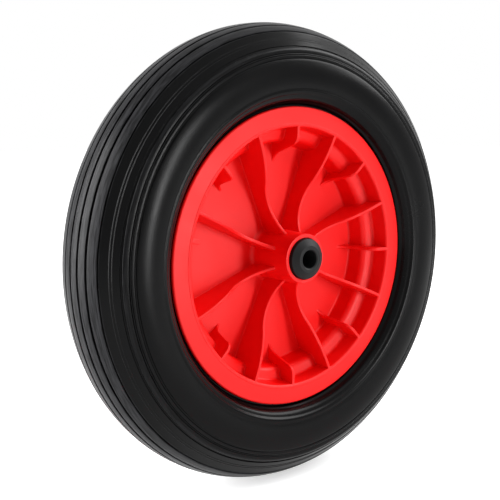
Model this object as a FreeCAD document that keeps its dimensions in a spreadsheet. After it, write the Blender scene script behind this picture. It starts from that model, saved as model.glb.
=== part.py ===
import FreeCAD, Part
import math
import os
import re

import Sketcher
from FreeCAD import Placement, Rotation, Vector

# Wheelbarrow wheel: a pneumatic tyre on a one-piece moulded rim with profile ribs and gussets.
# The wheel's centre is the origin. The axle lies along Y, the front of the wheel faces -Y and +Z is up.
# Sections are drawn with x as the radius from the axle and y as the distance from the middle plane.

# Driving dimensions in millimetres, angles in degrees

TYRE_SIZES = {
    "section_radius": (43.0, "round section of the inflated tyre, half its width"),
    "section_rise": (24.7, "centre of that section outside the rim's lip"),
    "sidewall_thickness": (4.2, "rubber at the sidewall"),
    "tread_thickness": (7.4, "rubber under the crown, tread included"),
    "cavity_pitch": (30.0, "angle between the corners of the cavity's section"),
    "cavity_end": (105.0, "angle of the cavity's section where the bead starts"),
    "groove_pitch": (11.2, "angle between crown grooves, from the section's centre"),
    "groove_half_width": (1.3, "angle from the middle of a groove to its edge"),
    "groove_draft": (0.35, "angle by which a groove narrows on each side"),
    "groove_depth": (2.2, "depth of the crown grooves"),
    "edge_rib_width": (10.7, "angle of the crown's last rib"),
    "edge_groove_width": (1.9, "angle of the groove beside it"),
    "edge_groove_depth": (1.6, "depth of the grooves at both ends of the plain shoulder"),
    "shoulder_width": (20.8, "angle of the plain shoulder"),
    "shoulder_drop": (0.7, "how far the plain shoulder lies below the crown"),
    "shoulder_rib_width": (6.3, "angle of the rib outside the plain shoulder"),
    "pin_groove_depth": (0.8, "depth of the fine groove beside that rib"),
    "narrow_rib_width": (3.1, "angle of the narrow rib next to the sidewall"),
    "sidewall_groove_depth": (1.2, "depth of the groove where the plain sidewall starts"),
    "sidewall_width": (30.7, "angle of the plain sidewall"),
    "guide_ring_width": (6.0, "angle of the raised ring above the bead"),
    "guide_ring_height": (0.8, "how far the ring stands off the sidewall"),
    "lip_turn": (3.7, "rounding where the sidewall turns in over the rim's lip"),
    "lip_gap": (1.5, "open gap between the rim's lip and the tyre"),
    "lip_overhang": (1.3, "how far the tyre's turn stands in front of the rim's lip"),
    "toe_setback": (2.0, "bead's toe from the start of its seat"),
    "toe_height": (2.4, "height of the bead's toe above its seat"),
    "bead_height": (11.7, "height of the bead's inside above its seat"),
    "bead_lean": (3.0, "how far the bead's inside leans outwards"),
    "bead_clearance": (0.15, "between the bead and the rim"),
    "tube_clearance": (0.3, "between the inner tube and what holds it"),
    "tube_wall": (1.8, "rubber of the inner tube"),
}

RIM_SIZES = {
    "flange_radius": (122.3, "outside of the rim"),
    "flange_width": (16.6, "from the flange's lip to its inner edge"),
    "flange_face": (33.1, "front of the flange at its lip, from the middle plane"),
    "flange_rise": (1.6, "how far the flange's inner edge stands in front of its lip"),
    "flange_land": (2.8, "width of the flat land along the flange's inner edge"),
    "flange_land_step": (0.25, "height of that land"),
    "flange_thickness": (3.4, "flange at its lip"),
    "flange_edge": (0.8, "chamfer of the flange's inner edge"),
    "lip_round": (1.7, "rounding of the flange's lip"),
    "bead_heel_round": (3.4, "rounding between the bead seat and the flange"),
    "rim_wall": (3.2, "wall of the bead seats"),
    "seat_draft": (1.1, "growth of that wall from the flange to the step"),
    "seat_start": (15.6, "inner edge of the bead seat, from the middle plane"),
    "seat_slope": (1.1, "rise of the bead seat towards the flange"),
    "step_thickness": (2.9, "wall of the inner step"),
    "step_round": (2.4, "rounding of the inner step's corners"),
    "well_drop": (10.6, "depth of the well below the bead seats"),
    "well_side": (1.4, "slope of the well's sides"),
    "well_thickness": (2.8, "wall of the well at the step"),
    "well_draft": (2.5, "growth of that wall towards the web"),
    "web_round": (3.0, "rounding between the web and the well"),
    "web_rim_half": (1.9, "half the web's thickness at the well"),
    "web_hub_half": (4.2, "half the web's thickness at the hub"),
    "hub_round": (5.0, "rounding between the web and the hub tube"),
    "hub_wall": (3.2, "wall of the hub tube round a bush's collar"),
    "hub_draft": (1.3, "growth of the hub tube towards the web"),
    "hub_half_length": (44.9, "end of the hub tube, from the middle plane"),
    "hub_edge": (0.9, "chamfer of the hub tube's end"),
    "rib_count": (8.0, "profile ribs, with gussets between them"),
    "rib_thickness": (2.8, "thickness of ribs and gussets"),
    "rib_inset": (0.4, "tops of ribs and gussets behind the flange's inner edge"),
    "rib_turn": (0.535, "share of the way from hub to flange where a rib's top turns"),
    "rib_turn_height": (25.2, "height of the rib there, from the middle plane"),
    "rib_full_round": (100.0, "curve of the full part of a rib's top, next to the flange"),
    "rib_hollow_round": (36.5, "curve of the hollow part of a rib's top, next to the hub"),
    "rib_hub_height": (32.0, "height of a rib's top in the hub tube"),
    "rib_root": (1.6, "how far ribs reach into the walls that carry them"),
    "gusset_top": (5.1, "flat top of a gusset"),
    "gusset_nose_round": (9.0, "rounding of a gusset's top"),
    "gusset_nose_width": (7.4, "how far inwards that rounding reaches"),
    "gusset_nose_drop": (7.7, "how far down that rounding reaches"),
    "gusset_side_width": (6.8, "how far inwards a gusset's side reaches"),
    "gusset_side_drop": (13.4, "how far down a gusset's side reaches"),
    "gusset_foot_round": (17.0, "curve of a gusset's foot"),
    "gusset_foot_width": (7.6, "how far inwards a gusset's foot reaches"),
    "rim_turn": (1.15, "how far the rim is turned on its axle"),
}

BUSH_SIZES = {
    "axle_bore_radius": (7.5, "hole for the axle"),
    "bush_wall": (6.5, "wall of a bush's barrel"),
    "barrel_length": (22.0, "barrel of a bush behind its collar"),
    "barrel_fit": (0.02, "between a bush's barrel and the hub tube"),
    "collar_shoulder": (2.5, "how far a bush's collar stands out round its barrel"),
    "collar_gap": (0.6, "between the collar and its recess"),
    "collar_seat_depth": (4.0, "recess for the collar in the hub tube"),
    "collar_proud": (2.8, "how far the collar stands out of the hub tube"),
    "collar_edge": (0.7, "chamfer of the collar's edge"),
    "nose_wall": (3.4, "flat end of a bush's nose round the hole"),
    "nose_length": (3.2, "nose in front of the collar"),
}

VALVE_SIZES = {
    "valve_offset": (8.8, "valve behind the middle plane"),
    "valve_angle": (180.0, "valve's place round the rim, from +X towards +Z"),
    "valve_hole_radius": (5.0, "valve hole in the well"),
    "valve_stem_clearance": (0.3, "between the stem and the valve hole"),
    "stem_length": (22.0, "rubber stem inside the well"),
    "stem_straight": (4.0, "straight part of the stem at the well"),
    "stem_taper": (0.8, "how much thinner the stem's end is than its foot"),
    "valve_barrel_radius": (2.6, "brass barrel in the stem"),
    "valve_barrel_reach": (9.0, "threaded end of the barrel beyond the rubber stem"),
    "valve_barrel_wall": (1.0, "wall of the barrel"),
    "core_clearance": (0.1, "between the valve core and the barrel"),
    "core_length": (14.0, "length of the core's body"),
    "core_pin_radius": (0.6, "pin at the core's end"),
    "core_pin_length": (1.2, "length of that pin"),
    "cap_wall": (1.4, "wall and closed end of the valve cap"),
    "cap_length": (11.5, "length of the cap"),
    "cap_clearance": (0.1, "between the cap and the barrel"),
    "cap_edge": (0.8, "chamfer of the cap's end"),
}

LEFT = 1
RIGHT = -1
FULL_TURN = 360
VALVE_TURN = "rim_turn - valve_angle"

doc = FreeCAD.newDocument("wheelbarrow_wheel")
sheet = doc.addObject("Spreadsheet::Sheet", "sizes")
all_sizes = {**TYRE_SIZES, **RIM_SIZES, **BUSH_SIZES, **VALVE_SIZES}
for row, (alias, (size, meaning)) in enumerate(all_sizes.items(), start=1):
    sheet.set(f"A{row}", meaning)
    sheet.set(f"B{row}", str(size))
    sheet.setAlias(f"B{row}", alias)
doc.recompute()


# Formulas of the sheet's names


def bound(formula):
    """The formula with each of the sheet's names written the way an expression needs it."""
    return re.sub(r"\b([a-z]+_[a-z_]+)\b", r"sizes.\1", formula)


def number(formula):
    """What the formula gives with the sheet's present numbers."""
    return float(sheet.evalExpression(bound(formula)))


def polar(centre, radius, angle):
    """A corner at an angle round a centre on the middle plane, 0 being straight out from the axle."""
    return f"{centre} + ({radius}) * cos(({angle}) * 1deg)", f"({radius}) * sin(({angle}) * 1deg)"


# Sketches, revolved bodies and patterns


def origin_feature(body, role):
    return next(feature for feature in body.Origin.OriginFeatures if feature.Role == role)


def arc_between(start, end, radius, side):
    """The arc that joins start and end, with its centre on the given side of the way there."""
    chord = end - start
    across = Vector(-chord.y, chord.x, 0).normalize() * side
    rise = math.sqrt(max(radius**2 - (chord.Length / 2) ** 2, 0))
    centre = (start + end) * 0.5 + across * rise
    first, last = (start, end) if side == LEFT else (end, start)
    first_angle = math.atan2(first.y - centre.y, first.x - centre.x)
    last_angle = math.atan2(last.y - centre.y, last.x - centre.x)
    circle = Part.Circle(centre, Vector(0, 0, 1), radius)
    return Part.ArcOfCircle(circle, first_angle, last_angle)


def new_sketch(body, label, turn=None):
    """A sketch on the body's XY plane, turned about the Y axis by a formula of degrees."""
    sketch = body.newObject("Sketcher::SketchObject", label)
    sketch.AttachmentSupport = [(origin_feature(body, "XY_Plane"), "")]
    sketch.MapMode = "FlatFace"
    if turn is not None:
        sketch.AttachmentOffset = Placement(Vector(), Rotation(Vector(0, 1, 0), number(turn)))
        sketch.setExpression("AttachmentOffset.Rotation.Angle", bound(turn))
    return sketch


def fix(sketch, geometry, end, corner):
    """Holds one end of a piece of geometry at a corner given by two formulas."""
    for kind, formula in zip(("DistanceX", "DistanceY"), corner):
        constraint = Sketcher.Constraint(kind, -1, 1, geometry, end, number(formula))
        index = sketch.addConstraint(constraint)
        sketch.setExpression(f"Constraints[{index}]", bound(formula))


def draw(sketch, corners, mirrored=False):
    """A closed outline. Each corner is two formulas and the bend of the edge that leaves it.

    A bend is None for a straight edge, or a radius and the side of the travel that the arc's centre is on.
    A mirrored outline goes on round the other side of the middle plane and back to the first corner.
    """
    points = [Vector(number(x), number(y), 0) for x, y, _ in corners]
    bends = [bend for _, _, bend in corners]
    given = len(corners)
    if mirrored:
        points += [Vector(point.x, -point.y, 0) for point in reversed(points)]
        bends += list(reversed(bends[:-1])) + [None]
    count = len(points)
    starts = []
    for index, bend in enumerate(bends):
        start, end = points[index], points[(index + 1) % count]
        if bend is None:
            edge = Part.LineSegment(start, end)
            starts.append(1)
        else:
            edge = arc_between(start, end, number(bend[0]), bend[1])
            starts.append(1 if bend[1] == LEFT else 2)
        sketch.addGeometry(edge, False)
    for index in range(count):
        following = (index + 1) % count
        end = 3 - starts[index]
        sketch.addConstraint(Sketcher.Constraint("Coincident", index, end, following, starts[following]))
    for index, (x, y, _) in enumerate(corners):
        fix(sketch, index, starts[index], (x, y))
    for index in range(given, count):
        twin = count - 1 - index
        sketch.addConstraint(Sketcher.Constraint("Symmetric", twin, starts[twin], index, starts[index], -1))
    for index, bend in enumerate(bends):
        if bend is None:
            continue
        held = sketch.addConstraint(Sketcher.Constraint("Radius", index, number(bend[0])))
        sketch.setExpression(f"Constraints[{held}]", bound(bend[0]))


def revolved_body(label, corners, mirrored=False, axis="V_Axis", rooms=()):
    """A body turned from one outline, less the named rooms turned from outlines inside it."""
    body = doc.addObject("PartDesign::Body", label)
    sketch = new_sketch(body, f"{label}_section")
    draw(sketch, corners, mirrored)
    turned = body.newObject("PartDesign::Revolution", f"{label}_turned")
    turned.Profile = sketch
    turned.ReferenceAxis = (sketch, [axis])
    turned.Angle = FULL_TURN
    for room, room_corners in rooms:
        inner = new_sketch(body, f"{label}_{room}_section")
        draw(inner, room_corners, mirrored)
        hollow = body.newObject("PartDesign::Groove", f"{label}_{room}")
        hollow.Profile = inner
        hollow.ReferenceAxis = (inner, [axis])
        hollow.Angle = FULL_TURN
    doc.recompute()
    return body


def radial_placement(body):
    """Turns a body drawn along X onto the valve's radius and moves it behind the middle plane."""
    place = Vector(0, number("valve_offset"), 0)
    body.Placement = Placement(place, Rotation(Vector(0, 1, 0), number(VALVE_TURN)))
    body.setExpression("Placement.Rotation.Angle", bound(VALVE_TURN))
    body.setExpression("Placement.Base.y", bound("valve_offset"))


def about_valve(body, label, kind, corners, turn):
    """Adds to a body, or cuts from it, what is round about the valve's axis.

    A corner is its distance from the axle, its distance from the valve's axis and the bend that leaves it.
    """
    sketch = new_sketch(body, f"{label}_section", turn)
    draw(sketch, [(x, f"valve_offset + {y}", bend) for x, y, bend in corners])
    near, far = corners[0][0], corners[1][0]
    ends = [Vector(number(x), number("valve_offset"), 0) for x in (near, far)]
    middle = sketch.addGeometry(Part.LineSegment(*ends), True)
    for end, x in enumerate((near, far), start=1):
        fix(sketch, middle, end, (x, "valve_offset"))
    feature = body.newObject(kind, label)
    feature.Profile = sketch
    feature.ReferenceAxis = (sketch, ["Axis0"])
    feature.Angle = FULL_TURN
    body.Tip = feature
    doc.recompute()


def round_hole(body, label, near, far, radius, turn):
    """A round hole about the valve's axis, from one distance from the axle to another."""
    corners = [(near, "0", None), (far, "0", None), (far, radius, None), (near, radius, None)]
    about_valve(body, label, "PartDesign::Groove", corners, turn)


# Rim

FLANGE_INSIDE = "flange_radius - flange_width"
FLANGE_BACK = "flange_face - flange_thickness"
FLANGE_CREST = "flange_face + flange_rise"
LAND_EDGE = f"{FLANGE_INSIDE} + flange_land"
STEP_RADIUS = f"{FLANGE_INSIDE} - seat_draft"
STEP_FACE = "seat_start + step_thickness"
SEAT_FOOT = f"{STEP_RADIUS} + rim_wall"
SEAT_TOP = f"{SEAT_FOOT} + seat_slope"
SEAT_END = f"{FLANGE_BACK} - bead_heel_round"
WELL_RADIUS = f"{SEAT_FOOT} - well_drop"
WELL_HALF_WIDTH = "seat_start - well_side"
WELL_INSIDE = f"{WELL_RADIUS} - well_thickness"
WEB_EDGE = f"{WELL_INSIDE} - well_draft"
HUB_BORE = "axle_bore_radius + bush_wall"
COLLAR_RADIUS = f"{HUB_BORE} + collar_shoulder"
RECESS_RADIUS = f"{COLLAR_RADIUS} + collar_gap"
RECESS_FLOOR = "hub_half_length - collar_seat_depth"
HUB_RADIUS = f"{RECESS_RADIUS} + hub_wall"
HUB_FOOT = f"{HUB_RADIUS} + hub_draft"

rim_half = [
    (WELL_RADIUS, WELL_HALF_WIDTH, None),
    (SEAT_FOOT, "seat_start", None),
    (SEAT_TOP, SEAT_END, ("bead_heel_round", RIGHT)),
    (f"{SEAT_TOP} + bead_heel_round", FLANGE_BACK, None),
    ("flange_radius - lip_round", FLANGE_BACK, ("lip_round", LEFT)),
    ("flange_radius", "flange_face - lip_round", ("lip_round", LEFT)),
    ("flange_radius - lip_round", "flange_face", None),
    (LAND_EDGE, f"{FLANGE_CREST} - flange_land_step", None),
    (LAND_EDGE, FLANGE_CREST, None),
    (f"{FLANGE_INSIDE} + flange_edge", FLANGE_CREST, None),
    (FLANGE_INSIDE, f"{FLANGE_CREST} - flange_edge", None),
    (STEP_RADIUS, f"{STEP_FACE} + step_round", ("step_round", RIGHT)),
    (f"{STEP_RADIUS} - step_round", STEP_FACE, None),
    (f"{WELL_INSIDE} + step_round", STEP_FACE, ("step_round", LEFT)),
    (WELL_INSIDE, f"{STEP_FACE} - step_round", None),
    (WEB_EDGE, "web_rim_half + web_round", ("web_round", RIGHT)),
    (f"{WEB_EDGE} - web_round", "web_rim_half", None),
    (f"{HUB_FOOT} + hub_round", "web_hub_half", ("hub_round", RIGHT)),
    (HUB_FOOT, "web_hub_half + hub_round", None),
    (HUB_RADIUS, "hub_half_length - hub_edge", None),
    (f"{HUB_RADIUS} - hub_edge", "hub_half_length", None),
    (RECESS_RADIUS, "hub_half_length", None),
    (RECESS_RADIUS, RECESS_FLOOR, None),
    (HUB_BORE, RECESS_FLOOR, None),
]
rim = revolved_body("rim", rim_half, mirrored=True)

RIB_TOP = f"{FLANGE_CREST} - rib_inset"
RIB_TURN_RADIUS = f"({HUB_RADIUS}) * (1 - rib_turn) + ({FLANGE_INSIDE}) * rib_turn"
WALL_ROOT = f"{FLANGE_INSIDE} + rib_root"
STEP_ROOT = f"{STEP_FACE} - rib_root"
WELL_ROOT = f"{WELL_RADIUS} - rib_root"
NOSE_END = f"{FLANGE_INSIDE} - gusset_top"
SIDE_RADIUS = f"{NOSE_END} - gusset_nose_width"
SIDE_HEIGHT = f"{RIB_TOP} - gusset_nose_drop"
WAIST_RADIUS = f"{SIDE_RADIUS} - gusset_side_width"
WAIST_HEIGHT = f"{SIDE_HEIGHT} - gusset_side_drop"

rib_half = [
    (f"{HUB_RADIUS} - rib_root", "rib_hub_height", ("rib_hollow_round", LEFT)),
    (RIB_TURN_RADIUS, "rib_turn_height", ("rib_full_round", RIGHT)),
    (FLANGE_INSIDE, RIB_TOP, None),
    (WALL_ROOT, RIB_TOP, None),
    (WALL_ROOT, STEP_ROOT, None),
    (WELL_ROOT, STEP_ROOT, None),
]
gusset_half = [
    (f"{WAIST_RADIUS} - gusset_foot_width", "web_rim_half", ("gusset_foot_round", LEFT)),
    (WAIST_RADIUS, WAIST_HEIGHT, None),
    (SIDE_RADIUS, SIDE_HEIGHT, ("gusset_nose_round", RIGHT)),
    (NOSE_END, RIB_TOP, None),
    (WALL_ROOT, RIB_TOP, None),
    (WALL_ROOT, STEP_ROOT, None),
    (WELL_ROOT, STEP_ROOT, None),
]


def rib_pad(label, half, turn=None):
    """One upright plate across the rim's middle plane, from its side outline."""
    sketch = new_sketch(rim, f"{label}_side", turn)
    draw(sketch, half, mirrored=True)
    pad = rim.newObject("PartDesign::Pad", label)
    pad.Profile = sketch
    pad.SideType = "Symmetric"
    pad.Length = number("rib_thickness")
    pad.setExpression("Length", bound("rib_thickness"))
    return pad


def pattern_round_axle(label, feature, count, sweep):
    pattern = rim.newObject("PartDesign::PolarPattern", label)
    pattern.Originals = [feature]
    pattern.Axis = (origin_feature(rim, "Y_Axis"), [""])
    pattern.Angle = number(sweep)
    pattern.setExpression("Angle", bound(sweep))
    pattern.Occurrences = round(number(count))
    pattern.setExpression("Occurrences", bound(count))
    rim.Tip = pattern
    doc.recompute()
    return pattern


# The valve stands in one of the places between the profile ribs, and gussets in the others.
RIB_PITCH = "360 / rib_count"
OPEN_PLACE = f"2 * {RIB_PITCH}"
profile_rib = rib_pad("profile_rib", rib_half, f"-{RIB_PITCH} / 2")
pattern_round_axle("profile_ribs", profile_rib, "rib_count", "360")
gusset = rib_pad("gusset", gusset_half, f"{RIB_PITCH} - valve_angle")
pattern_round_axle("gussets", gusset, "rib_count - 1", f"360 - {OPEN_PLACE}")

hole_ends = (f"{WEB_EDGE} - web_round", f"{WELL_RADIUS} + rib_root")
round_hole(rim, "valve_hole", *hole_ends, "valve_hole_radius", "-valve_angle")
rim.Placement = Placement(Vector(), Rotation(Vector(0, 1, 0), number("rim_turn")))
rim.setExpression("Placement.Rotation.Angle", bound("rim_turn"))

# Tyre

SECTION_CENTRE = "flange_radius + section_rise"
CAVITY_RADIUS = "section_radius - sidewall_thickness"
CAVITY_CENTRE = f"{SECTION_CENTRE} + sidewall_thickness - tread_thickness"
ROUND_OUTSIDE = ("section_radius", LEFT)
EDGE_GROOVE = "2 * groove_pitch + groove_half_width + edge_rib_width"
SHOULDER_START = f"{EDGE_GROOVE} + edge_groove_width"
SHOULDER_END = f"{SHOULDER_START} + shoulder_width"
SHOULDER_RIB = f"{SHOULDER_END} + 2 * groove_half_width"
PIN_GROOVE = f"{SHOULDER_RIB} + shoulder_rib_width + groove_half_width"
SIDEWALL_GROOVE = f"{PIN_GROOVE} + 2 * groove_half_width + narrow_rib_width"
RING_START = f"{SIDEWALL_GROOVE} + groove_half_width + sidewall_width"
BEAD_FACE = f"{FLANGE_BACK} - bead_clearance"
BEAD_SEAT = f"{SEAT_FOOT} + bead_clearance"
TOE_WIDTH = "seat_start + toe_setback"
TOE_RADIUS = f"{BEAD_SEAT} + seat_slope * toe_setback / ({SEAT_END} - seat_start)"
TOE_TOP = f"{TOE_RADIUS} + toe_height"
BEAD_TOP = f"{SEAT_FOOT} + bead_height"
BEAD_TOP_WIDTH = f"{TOE_WIDTH} + bead_lean"
LIP_GAP_RADIUS = "flange_radius + lip_gap"
TURN_END = "flange_face + lip_overhang"
CAVITY_CORNERS = [
    "cavity_end",
    "cavity_end - cavity_pitch",
    "cavity_end - 2 * cavity_pitch",
    "cavity_end - 3 * cavity_pitch",
]


def on_section(angle, depth="0", bend=None):
    """A corner of the tyre's section, so deep below its round outside."""
    x, y = polar(SECTION_CENTRE, f"section_radius - ({depth})", angle)
    return x, y, bend


def groove(middle, depth, bend=None):
    """A groove with drafted walls, and the bend of the outside as far as the next one."""
    floor = "groove_half_width - groove_draft"
    return [
        on_section(f"{middle} - groove_half_width"),
        on_section(f"{middle} - ({floor})", depth),
        on_section(f"{middle} + ({floor})", depth),
        on_section(f"{middle} + groove_half_width", bend=bend),
    ]


def cavity_side(radius, angles):
    """The straight sides of a cavity's section, with corners at these angles."""
    return [(*polar(CAVITY_CENTRE, radius, angle), None) for angle in angles]


tyre_half = [
    on_section("groove_half_width - groove_draft", "groove_depth"),
    on_section("groove_half_width"),
    *groove("groove_pitch", "groove_depth"),
    *groove("2 * groove_pitch", "groove_depth"),
    on_section(EDGE_GROOVE),
    on_section(f"{EDGE_GROOVE} + groove_draft", "edge_groove_depth"),
    on_section(f"{SHOULDER_START} - groove_draft", "edge_groove_depth"),
    on_section(SHOULDER_START, "shoulder_drop"),
    on_section(SHOULDER_END, "shoulder_drop"),
    on_section(f"{SHOULDER_END} + groove_draft", "edge_groove_depth"),
    on_section(f"{SHOULDER_RIB} - groove_draft", "edge_groove_depth"),
    on_section(SHOULDER_RIB, bend=ROUND_OUTSIDE),
    on_section(f"{PIN_GROOVE} - groove_half_width"),
    on_section(PIN_GROOVE, "pin_groove_depth"),
    on_section(f"{PIN_GROOVE} + groove_half_width"),
    *groove(SIDEWALL_GROOVE, "sidewall_groove_depth", ROUND_OUTSIDE),
    on_section(RING_START),
    on_section(f"{RING_START} + guide_ring_width / 4", "-guide_ring_height"),
    on_section(f"{RING_START} + guide_ring_width * 3 / 4", "-guide_ring_height"),
    on_section(f"{RING_START} + guide_ring_width"),
    (f"{LIP_GAP_RADIUS} + lip_turn", f"{TURN_END} + lip_turn", ("lip_turn", LEFT)),
    (LIP_GAP_RADIUS, TURN_END, None),
    (LIP_GAP_RADIUS, BEAD_FACE, None),
    (f"{SEAT_TOP} + bead_heel_round", BEAD_FACE, ("bead_heel_round - bead_clearance", LEFT)),
    (f"{SEAT_TOP} + bead_clearance", SEAT_END, None),
    (TOE_RADIUS, TOE_WIDTH, None),
    (TOE_TOP, TOE_WIDTH, None),
    (BEAD_TOP, BEAD_TOP_WIDTH, None),
    *cavity_side(CAVITY_RADIUS, CAVITY_CORNERS),
]
tyre = revolved_body("tyre", tyre_half, mirrored=True)

# Inner tube

TUBE_RADIUS = f"{CAVITY_RADIUS} - tube_clearance"
TUBE_INSIDE = f"{TUBE_RADIUS} - tube_wall"
TUBE_TOP = f"{BEAD_TOP} + tube_clearance"
TUBE_TOP_WIDTH = f"{BEAD_TOP_WIDTH} - 2 * tube_clearance"
TUBE_TOE_WIDTH = "seat_start - 2 * tube_clearance"
TUBE_FLOOR = f"{WELL_RADIUS} + tube_clearance"
TUBE_FLOOR_WIDTH = f"{WELL_HALF_WIDTH} - 2 * tube_clearance"

tube_outside = [
    *cavity_side(TUBE_RADIUS, reversed(CAVITY_CORNERS)),
    (TUBE_TOP, TUBE_TOP_WIDTH, None),
    (TOE_TOP, TUBE_TOE_WIDTH, None),
    (TUBE_FLOOR, TUBE_FLOOR_WIDTH, None),
]
tube_inside = [
    *cavity_side(TUBE_INSIDE, reversed(CAVITY_CORNERS)),
    (f"{TUBE_TOP} + tube_wall / 2", f"{TUBE_TOP_WIDTH} - tube_wall", None),
    (f"{TOE_TOP} + tube_wall / 2", f"{TUBE_TOE_WIDTH} - tube_wall", None),
    (f"{TUBE_FLOOR} + tube_wall", f"{TUBE_FLOOR_WIDTH} - tube_wall", None),
]
inner_tube = revolved_body("inner_tube", tube_outside, mirrored=True, rooms=[("air", tube_inside)])

# The rubber stem is moulded to the inner tube and passes through the valve hole

STEM_RADIUS = "valve_hole_radius - valve_stem_clearance"
STEM_SHOULDER = f"{WEB_EDGE} - stem_straight"
STEM_END = f"{WELL_INSIDE} - stem_length"
STEM_ROOT = f"{TUBE_FLOOR} + tube_wall"

about_valve(
    inner_tube,
    "stem",
    "PartDesign::Revolution",
    [
        (STEM_END, "0", None),
        (STEM_ROOT, "0", None),
        (STEM_ROOT, STEM_RADIUS, None),
        (STEM_SHOULDER, STEM_RADIUS, None),
        (STEM_END, f"{STEM_RADIUS} - stem_taper", None),
    ],
    VALVE_TURN,
)
bore_ends = (f"{STEM_END} - stem_straight", f"{STEM_ROOT} + tube_wall")
round_hole(inner_tube, "stem_bore", *bore_ends, "valve_barrel_radius", VALVE_TURN)

# Axle bushes

BARREL_RADIUS = f"{HUB_BORE} - barrel_fit"
BARREL_END = f"{RECESS_FLOOR} - barrel_length"
COLLAR_FACE = "hub_half_length + collar_proud"
NOSE_FACE = f"{COLLAR_FACE} + nose_length"

bush_rear_half = [
    ("axle_bore_radius", BARREL_END, None),
    (BARREL_RADIUS, BARREL_END, None),
    (BARREL_RADIUS, RECESS_FLOOR, None),
    (COLLAR_RADIUS, RECESS_FLOOR, None),
    (COLLAR_RADIUS, f"{COLLAR_FACE} - collar_edge", None),
    (f"{COLLAR_RADIUS} - collar_edge", COLLAR_FACE, None),
    ("axle_bore_radius + nose_wall", NOSE_FACE, None),
    ("axle_bore_radius", NOSE_FACE, None),
]
bush_front_half = [(x, f"-({y})", bend) for x, y, bend in bush_rear_half]
bush_rear = revolved_body("bush_rear", bush_rear_half)
bush_front = revolved_body("bush_front", bush_front_half)

# Valve, drawn along X with y as its own radius

AIR_PASSAGE = "valve_barrel_radius - valve_barrel_wall"
CORE_RADIUS = f"{AIR_PASSAGE} - core_clearance"
VALVE_MOUTH = f"{STEM_END} - valve_barrel_reach"
CORE_END = f"{VALVE_MOUTH} + core_pin_length"
CAP_START = f"{STEM_END} - cap_clearance"
CAP_END = f"{CAP_START} - cap_length"
CAP_ROOM = f"{CAP_END} + cap_wall"
CAP_INSIDE = "valve_barrel_radius + cap_clearance"
CAP_RADIUS = f"{CAP_INSIDE} + cap_wall"

valve_barrel = revolved_body(
    "valve_barrel",
    [
        (VALVE_MOUTH, AIR_PASSAGE, None),
        (STEM_ROOT, AIR_PASSAGE, None),
        (STEM_ROOT, "valve_barrel_radius", None),
        (VALVE_MOUTH, "valve_barrel_radius", None),
    ],
    axis="H_Axis",
)
valve_core = revolved_body(
    "valve_core",
    [
        (VALVE_MOUTH, "0", None),
        (f"{CORE_END} + core_length", "0", None),
        (f"{CORE_END} + core_length", CORE_RADIUS, None),
        (CORE_END, CORE_RADIUS, None),
        (CORE_END, "core_pin_radius", None),
        (VALVE_MOUTH, "core_pin_radius", None),
    ],
    axis="H_Axis",
)
valve_cap = revolved_body(
    "valve_cap",
    [
        (CAP_END, "0", None),
        (CAP_ROOM, "0", None),
        (CAP_ROOM, CAP_INSIDE, None),
        (CAP_START, CAP_INSIDE, None),
        (CAP_START, CAP_RADIUS, None),
        (f"{CAP_END} + cap_edge", CAP_RADIUS, None),
        (CAP_END, f"{CAP_RADIUS} - cap_edge", None),
    ],
    axis="H_Axis",
)
for valve_piece in (valve_barrel, valve_core, valve_cap):
    radial_placement(valve_piece)

# Check every object and write one file for each piece

doc.recompute()
failed = [item.Name for item in doc.Objects if {"Invalid", "Error"} & set(item.State)]
if failed:
    raise ValueError(f"these objects failed: {failed}")
pieces = [item for item in doc.Objects if item.isDerivedFrom("PartDesign::Body")]
for piece in pieces:
    if piece.Shape.isNull() or not piece.Shape.isValid() or len(piece.Shape.Solids) != 1:
        raise ValueError(f"{piece.Label} is not one valid solid")
os.makedirs("parts", exist_ok=True)
for piece in pieces:
    piece.Shape.exportStep(f"parts/{piece.Label}.step")
    print(piece.Label, round(piece.Shape.Volume), "mm3")
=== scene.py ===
import math

import bmesh
import bpy
from bpy.props import FloatProperty, FloatVectorProperty, IntProperty, PointerProperty
from mathutils import Matrix, Vector


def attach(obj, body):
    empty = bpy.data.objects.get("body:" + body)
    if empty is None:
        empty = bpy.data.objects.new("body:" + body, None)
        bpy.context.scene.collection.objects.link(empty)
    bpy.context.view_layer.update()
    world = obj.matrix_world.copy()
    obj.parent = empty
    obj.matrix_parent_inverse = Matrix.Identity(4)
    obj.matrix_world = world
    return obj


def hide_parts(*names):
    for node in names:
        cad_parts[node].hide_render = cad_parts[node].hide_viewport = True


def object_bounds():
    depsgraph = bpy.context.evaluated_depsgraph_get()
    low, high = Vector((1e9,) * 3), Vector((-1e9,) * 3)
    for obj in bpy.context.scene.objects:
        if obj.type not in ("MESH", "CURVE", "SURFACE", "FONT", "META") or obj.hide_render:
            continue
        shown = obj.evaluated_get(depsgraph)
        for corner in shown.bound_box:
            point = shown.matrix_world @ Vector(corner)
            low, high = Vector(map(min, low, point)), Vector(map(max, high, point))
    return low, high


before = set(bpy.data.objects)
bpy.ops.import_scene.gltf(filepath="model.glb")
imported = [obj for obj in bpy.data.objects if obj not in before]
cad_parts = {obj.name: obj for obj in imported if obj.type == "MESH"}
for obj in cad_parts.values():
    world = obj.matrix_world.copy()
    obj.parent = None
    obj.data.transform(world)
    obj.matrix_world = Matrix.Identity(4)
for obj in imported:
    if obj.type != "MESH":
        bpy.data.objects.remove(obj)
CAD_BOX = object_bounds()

bl_info = {
    "name": "Wheelbarrow wheel",
    "version": (1, 0, 0),
    "blender": (4, 5, 0),
    "location": "3D View > Sidebar > Wheel",
    "description": "Models and dresses a pneumatic wheelbarrow wheel over its CAD frame",
    "category": "Object",
}

# Sizes and outlines are in millimetres, and MM turns them into metres.
MM = 0.001
MERGE_DISTANCE = 0.001 * MM
AXLE = Vector((0, 1, 0))
FRONT, BACK = -1, 1
LEFT, RIGHT = 1, -1
FULL_TURN = math.tau


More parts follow.
